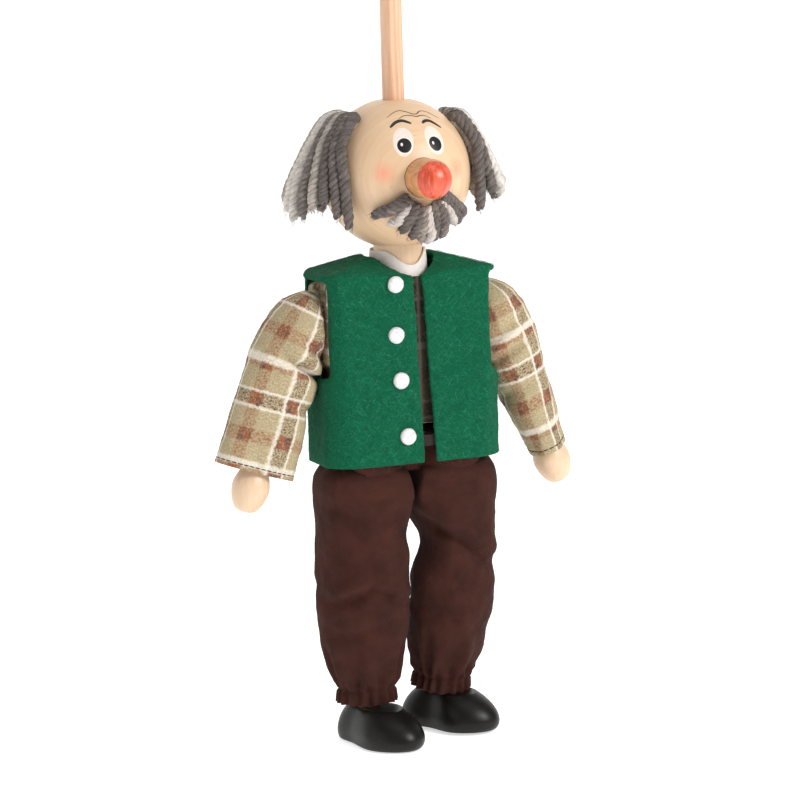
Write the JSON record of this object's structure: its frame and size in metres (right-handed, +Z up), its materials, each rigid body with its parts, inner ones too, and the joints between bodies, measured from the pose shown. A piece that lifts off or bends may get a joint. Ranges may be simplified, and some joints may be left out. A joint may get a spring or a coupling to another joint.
{
  "type": "craft stick puppet",
  "caption": "Moustached stick puppet: ball head on a wooden control rod, loosely hung arms and legs, felt vest, plaid sleeves, twill trousers and carved shoes.",
  "frame": {"origin": "on the rod's axis at the crown of the head, where the rod leaves the ball", "axes": "+Z up along the rod towards its grip end, -Y the way the face looks, +X towards the puppet's own left hand"},
  "size_m": [0.14, 0.07, 0.4372],
  "materials": {
    "rod_wood": "bare, lightly sanded",
    "head_wood": "satin varnish with hand-painted eyes, brows and airbrushed cheeks",
    "nose_wood": "bare wood with a red-stained end",
    "hand_wood": "sanded and sealed",
    "body_wood": "bare",
    "hair_yarn": "two-ply heather wool yarn",
    "moustache_yarn": "two-ply heather wool yarn",
    "collar_cloth": "white cotton",
    "plaid_flannel": "brushed plaid flannel",
    "vest_felt": "green wool felt",
    "button_felt": "white fuzzy felt",
    "trouser_twill": "dark brown twill",
    "elastic": "gathering elastic",
    "cord": "cotton cord",
    "shoe_paint": "black paint, satin, slightly worn"
  },
  "bodies": {
    "root": {"control_rod": "rod_wood", "head_ball": "head_wood", "nose": "nose_wood", "hair_tuft_right": "hair_yarn", "hair_tuft_left": "hair_yarn", "moustache": "moustache_yarn", "neck_dowel": "body_wood", "torso_block": "body_wood", "shirt_body": "plaid_flannel", "shirt_collar": "collar_cloth", "vest": "vest_felt", "vest_buttons": "button_felt", "trouser_seat": "trouser_twill", "waist_elastic": "elastic", "shoulder_cord_right": "cord", "shoulder_cord_left": "cord", "hip_cord_right": "cord", "hip_cord_left": "cord"},
    "shoulder_link_right": {"shoulder_knot_right": "cord"},
    "arm_right": {"upper_arm_right": "body_wood", "sleeve_upper_right": "plaid_flannel", "elbow_cord_right": "cord"},
    "forearm_right": {"forearm_hand_right": "hand_wood", "sleeve_lower_right": "plaid_flannel"},
    "hip_link_right": {"hip_knot_right": "cord"},
    "leg_right": {"thigh_right": "body_wood", "trouser_thigh_right": "trouser_twill", "knee_cord_right": "cord"},
    "lower_leg_right": {"shin_right": "body_wood", "trouser_shin_right": "trouser_twill", "ankle_elastic_right": "elastic", "shoe_right": "shoe_paint"},
    "shoulder_link_left": {"shoulder_knot_left": "cord"},
    "arm_left": {"upper_arm_left": "body_wood", "sleeve_upper_left": "plaid_flannel", "elbow_cord_left": "cord"},
    "forearm_left": {"forearm_hand_left": "hand_wood", "sleeve_lower_left": "plaid_flannel"},
    "hip_link_left": {"hip_knot_left": "cord"},
    "leg_left": {"thigh_left": "body_wood", "trouser_thigh_left": "trouser_twill", "knee_cord_left": "cord"},
    "lower_leg_left": {"shin_left": "body_wood", "trouser_shin_left": "trouser_twill", "ankle_elastic_left": "elastic", "shoe_left": "shoe_paint"}
  },
  "joints": [
    {"name": "shoulder_swing_right", "type": "hinge", "parent": "root", "child": "shoulder_link_right", "pos_m": [-0.033, 0, -0.069], "axis": [-1, 0, 0], "range_deg": [-45, 50], "deforming": ["shoulder_cord_right"]},
    {"name": "shoulder_raise_right", "type": "hinge", "parent": "shoulder_link_right", "child": "arm_right", "pos_m": [-0.033, 0, -0.069], "axis": [0, 1, 0], "range_deg": [0, 55], "deforming": ["shoulder_cord_right"]},
    {"name": "elbow_right", "type": "hinge", "parent": "arm_right", "child": "forearm_right", "pos_m": [-0.046, 0, -0.0925], "axis": [-1, 0, 0], "range_deg": [0, 60], "deforming": ["elbow_cord_right"]},
    {"name": "hip_swing_right", "type": "hinge", "parent": "root", "child": "hip_link_right", "pos_m": [-0.0178, 0, -0.145], "axis": [-1, 0, 0], "range_deg": [-35, 55], "deforming": ["hip_cord_right"]},
    {"name": "hip_splay_right", "type": "hinge", "parent": "hip_link_right", "child": "leg_right", "pos_m": [-0.0178, 0, -0.145], "axis": [0, 1, 0], "range_deg": [0, 12], "deforming": ["hip_cord_right"]},
    {"name": "knee_right", "type": "hinge", "parent": "leg_right", "child": "lower_leg_right", "pos_m": [-0.0178, 0, -0.183], "axis": [1, 0, 0], "range_deg": [0, 70], "deforming": ["knee_cord_right"]},
    {"name": "shoulder_swing_left", "type": "hinge", "parent": "root", "child": "shoulder_link_left", "pos_m": [0.033, 0, -0.069], "axis": [-1, 0, 0], "range_deg": [-45, 50], "deforming": ["shoulder_cord_left"]},
    {"name": "shoulder_raise_left", "type": "hinge", "parent": "shoulder_link_left", "child": "arm_left", "pos_m": [0.033, 0, -0.069], "axis": [0, -1, 0], "range_deg": [0, 55], "deforming": ["shoulder_cord_left"]},
    {"name": "elbow_left", "type": "hinge", "parent": "arm_left", "child": "forearm_left", "pos_m": [0.0425, 0, -0.094], "axis": [-1, 0, 0], "range_deg": [0, 60], "deforming": ["elbow_cord_left"]},
    {"name": "hip_swing_left", "type": "hinge", "parent": "root", "child": "hip_link_left", "pos_m": [0.0178, 0, -0.145], "axis": [-1, 0, 0], "range_deg": [-35, 55], "deforming": ["hip_cord_left"]},
    {"name": "hip_splay_left", "type": "hinge", "parent": "hip_link_left", "child": "leg_left", "pos_m": [0.0178, 0, -0.145], "axis": [0, -1, 0], "range_deg": [0, 12], "deforming": ["hip_cord_left"]},
    {"name": "knee_left", "type": "hinge", "parent": "leg_left", "child": "lower_leg_left", "pos_m": [0.0178, 0, -0.183], "axis": [1, 0, 0], "range_deg": [-8, 62], "deforming": ["knee_cord_left"]}
  ]
}
